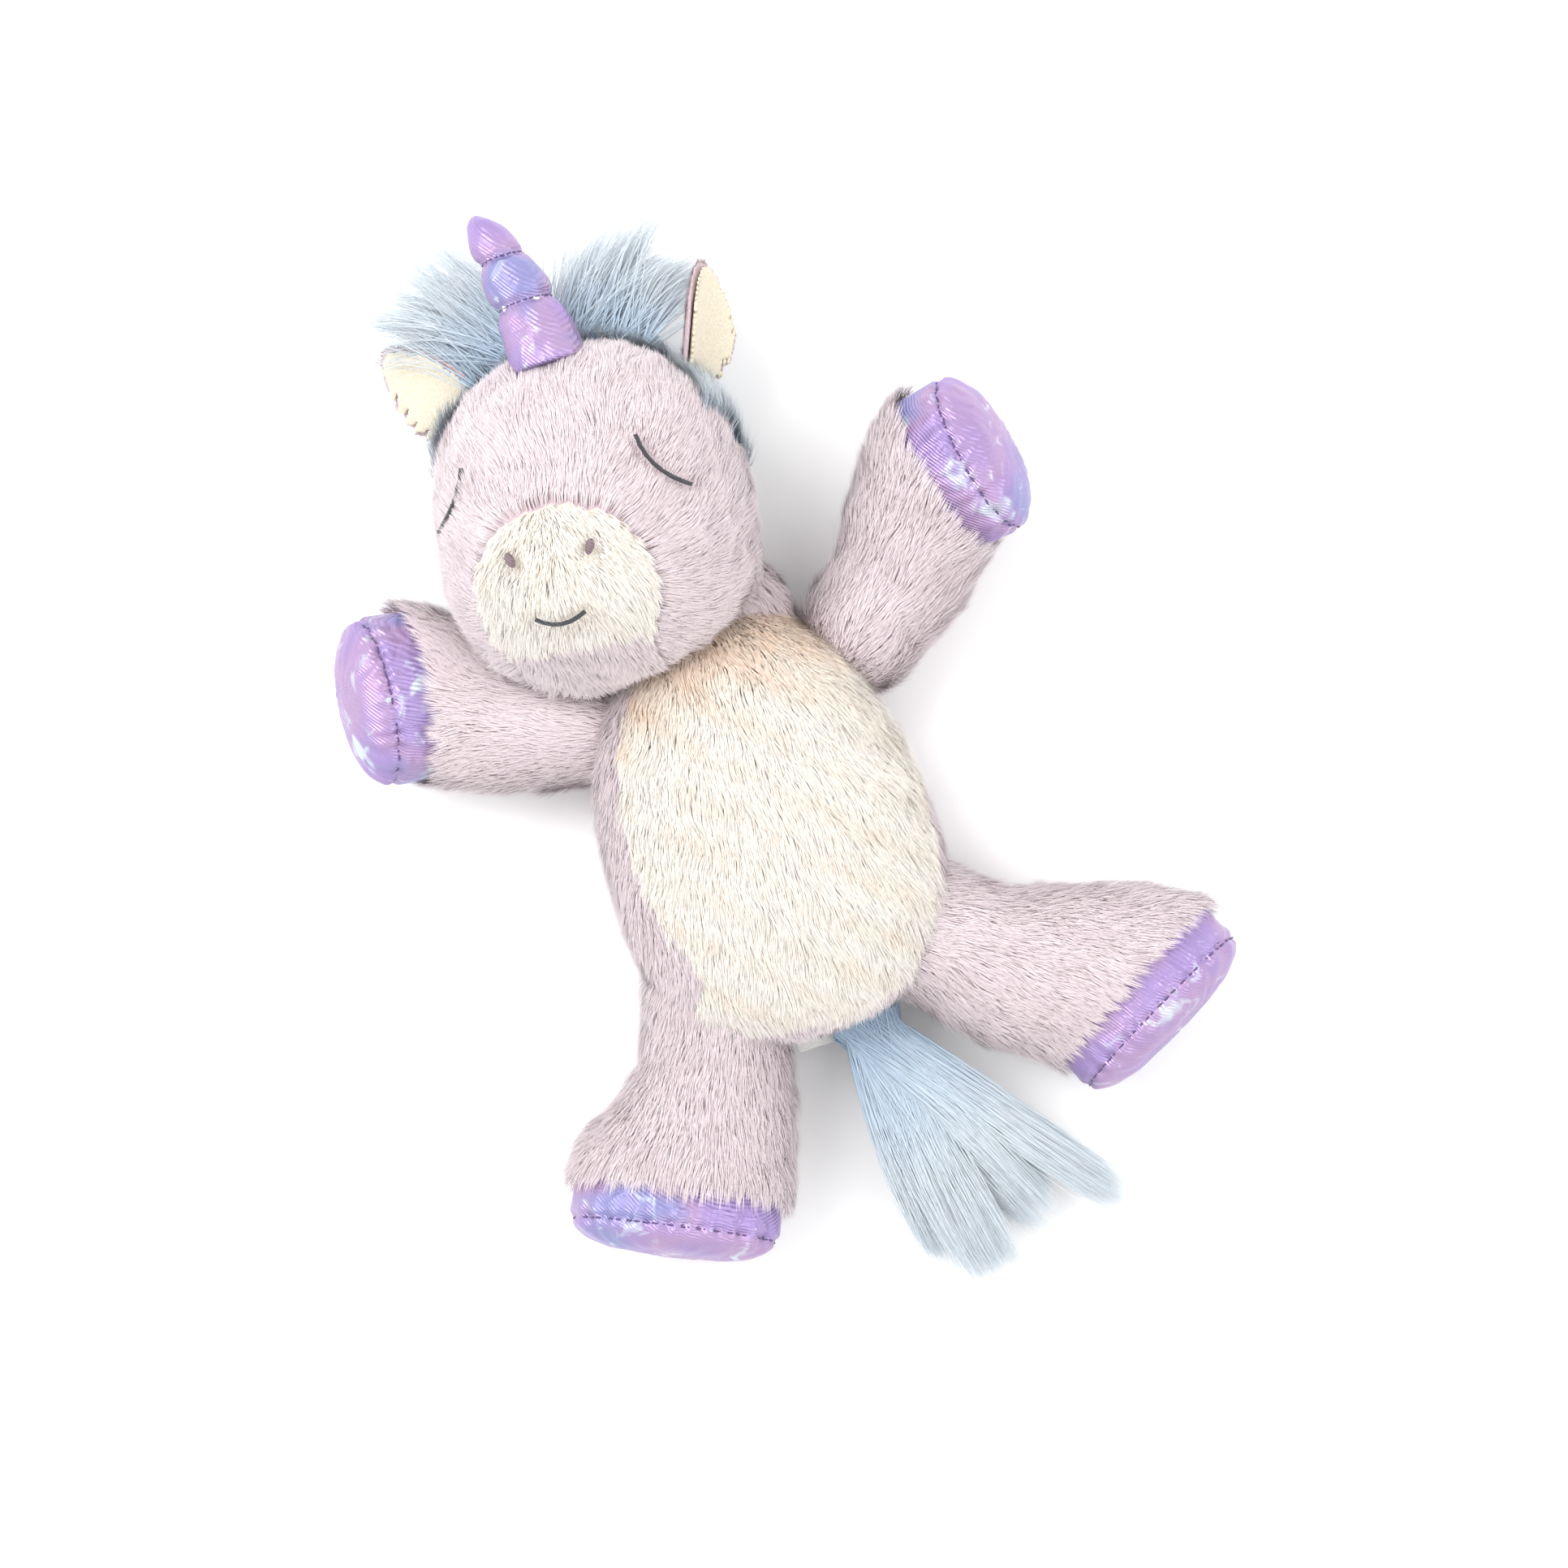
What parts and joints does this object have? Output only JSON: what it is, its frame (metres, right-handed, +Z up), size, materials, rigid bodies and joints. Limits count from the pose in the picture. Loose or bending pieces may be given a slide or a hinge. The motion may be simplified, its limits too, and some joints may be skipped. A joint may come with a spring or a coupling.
{
  "type": "plush unicorn",
  "caption": "Soft plush unicorn lying on its back, in pale pink pile with a cream belly and muzzle, lilac metallic hooves and horn, and pale blue hair.",
  "frame": {"origin": "middle of the flat patch of the back, on the surface it lies on", "axes": "+Z up out of the belly, +Y from tail to head along the body, +X to the toy's own left"},
  "size_m": [0.2863, 0.4163, 0.1084],
  "materials": {
    "pink_plush": "matte",
    "cream_plush": "matte",
    "blue_long_pile": "matte",
    "lilac_lame": "satin",
    "ear_velour": "matte",
    "charcoal_thread": "satin",
    "mauve_thread": "satin",
    "purple_thread": "satin",
    "polyester_fibre": "matte",
    "satin_tape": "satin"
  },
  "bodies": {
    "torso": {"torso_back_panel": "pink_plush", "torso_filling": "polyester_fibre", "belly_panel": "cream_plush", "seat_bean_pouch": "polyester_fibre", "closing_seam": "pink_plush", "care_label": "satin_tape"},
    "neck": {"neck_cover": "pink_plush", "neck_filling": "polyester_fibre"},
    "head": {"chin_panel": "pink_plush", "eye_stitch_left": "charcoal_thread", "eye_stitch_right": "charcoal_thread", "forelock_left_hair": "blue_long_pile", "forelock_right_hair": "blue_long_pile", "head_back_panel": "pink_plush", "head_face_panel": "pink_plush", "head_filling": "polyester_fibre", "head_mane_panel": "blue_long_pile", "mouth_stitch": "charcoal_thread", "muzzle_panel": "cream_plush", "nostril_left": "mauve_thread", "nostril_right": "mauve_thread"},
    "ear_left": {"ear_left_back": "pink_plush", "ear_left_lining": "ear_velour"},
    "arm_left_root": {"arm_left_root_seam": "pink_plush"},
    "arm_left": {"arm_left_cover": "pink_plush", "arm_left_filling": "polyester_fibre", "arm_left_hoof_band": "lilac_lame", "arm_left_hoof_seam": "purple_thread", "arm_left_hoof_sole": "lilac_lame"},
    "leg_left_root": {"leg_left_root_seam": "pink_plush"},
    "leg_left": {"leg_left_cover": "pink_plush", "leg_left_filling": "polyester_fibre", "leg_left_hoof_band": "lilac_lame", "leg_left_hoof_seam": "purple_thread", "leg_left_hoof_sole": "lilac_lame"},
    "ear_right": {"ear_right_back": "pink_plush", "ear_right_lining": "ear_velour"},
    "arm_right_root": {"arm_right_root_seam": "pink_plush"},
    "arm_right": {"arm_right_cover": "pink_plush", "arm_right_filling": "polyester_fibre", "arm_right_hoof_band": "lilac_lame", "arm_right_hoof_seam": "purple_thread", "arm_right_hoof_sole": "lilac_lame"},
    "leg_right_root": {"leg_right_root_seam": "pink_plush"},
    "leg_right": {"leg_right_cover": "pink_plush", "leg_right_filling": "polyester_fibre", "leg_right_hoof_band": "lilac_lame", "leg_right_hoof_seam": "purple_thread", "leg_right_hoof_sole": "lilac_lame"},
    "horn": {"horn_cover": "lilac_lame", "horn_filling": "polyester_fibre", "horn_gather_1": "purple_thread", "horn_gather_2": "purple_thread"},
    "tail_root": {"tail_tab": "blue_long_pile"},
    "tail": {"tail_hair": "blue_long_pile"}
  },
  "joints": [
    {"name": "neck_tilt", "type": "hinge", "parent": "torso", "child": "neck", "pos_m": [0.006, 0.07, 0.0275], "axis": [0, 0, -1], "range_deg": [-2, 15]},
    {"name": "head_nod", "type": "hinge", "parent": "neck", "child": "head", "pos_m": [0.006, 0.07, 0.0275], "axis": [1, 0, 0], "range_deg": [0, 15]},
    {"name": "arm_left_swing", "type": "hinge", "parent": "torso", "child": "arm_left_root", "pos_m": [0.052, 0.051, 0.027], "axis": [0, 0, 1], "range_deg": [-25, 15]},
    {"name": "arm_left_lift", "type": "hinge", "parent": "arm_left_root", "child": "arm_left", "pos_m": [0.052, 0.051, 0.027], "axis": [0.4742, -0.6293, -0.6157], "range_deg": [0, 50]},
    {"name": "arm_right_swing", "type": "hinge", "parent": "torso", "child": "arm_right_root", "pos_m": [-0.052, 0.051, 0.027], "axis": [0, 0, 1], "range_deg": [-2, 25]},
    {"name": "arm_right_lift", "type": "hinge", "parent": "arm_right_root", "child": "arm_right", "pos_m": [-0.052, 0.051, 0.027], "axis": [0.2435, 0.7494, 0.6157], "range_deg": [0, 50]},
    {"name": "leg_left_swing", "type": "hinge", "parent": "torso", "child": "leg_left_root", "pos_m": [0.04, -0.057, 0.028], "axis": [0, 0, 1], "range_deg": [-8, 25]},
    {"name": "leg_left_lift", "type": "hinge", "parent": "leg_left_root", "child": "leg_left", "pos_m": [0.04, -0.057, 0.028], "axis": [-0.6947, -0.7193, 0], "range_deg": [0, 60]},
    {"name": "leg_right_swing", "type": "hinge", "parent": "torso", "child": "leg_right_root", "pos_m": [-0.04, -0.057, 0.028], "axis": [0, 0, -1], "range_deg": [-8, 25]},
    {"name": "leg_right_lift", "type": "hinge", "parent": "leg_right_root", "child": "leg_right", "pos_m": [-0.04, -0.057, 0.028], "axis": [-0.9703, 0.2419, 0], "range_deg": [0, 60]},
    {"name": "ear_left_fold", "type": "hinge", "parent": "head", "child": "ear_left", "pos_m": [0.02341, 0.15875, 0.05041], "axis": [0.4733, -0.1507, -0.8679], "range_deg": [-10, 22], "stiffness_Nm_per_rad": 0.006},
    {"name": "ear_right_fold", "type": "hinge", "parent": "head", "child": "ear_right", "pos_m": [-0.05774, 0.1716, 0.03294], "axis": [0.6132, 0.5902, 0.5249], "range_deg": [-10, 22], "stiffness_Nm_per_rad": 0.006},
    {"name": "horn_bend", "type": "hinge", "parent": "head", "child": "horn", "pos_m": [-0.02394, 0.17435, 0.0655], "axis": [-0.2054, 0.0325, 0.9781], "range_deg": [-12, 12], "stiffness_Nm_per_rad": 0.02},
    {"name": "tail_wag", "type": "hinge", "parent": "torso", "child": "tail_root", "pos_m": [0.01, -0.082, 0.013], "axis": [0, 0, -1], "range_deg": [-6, 8]},
    {"name": "tail_lift", "type": "hinge", "parent": "tail_root", "child": "tail", "pos_m": [0.01202, -0.09077, 0.018], "axis": [-0.9744, -0.225, 0], "range_deg": [0, 50]}
  ]
}
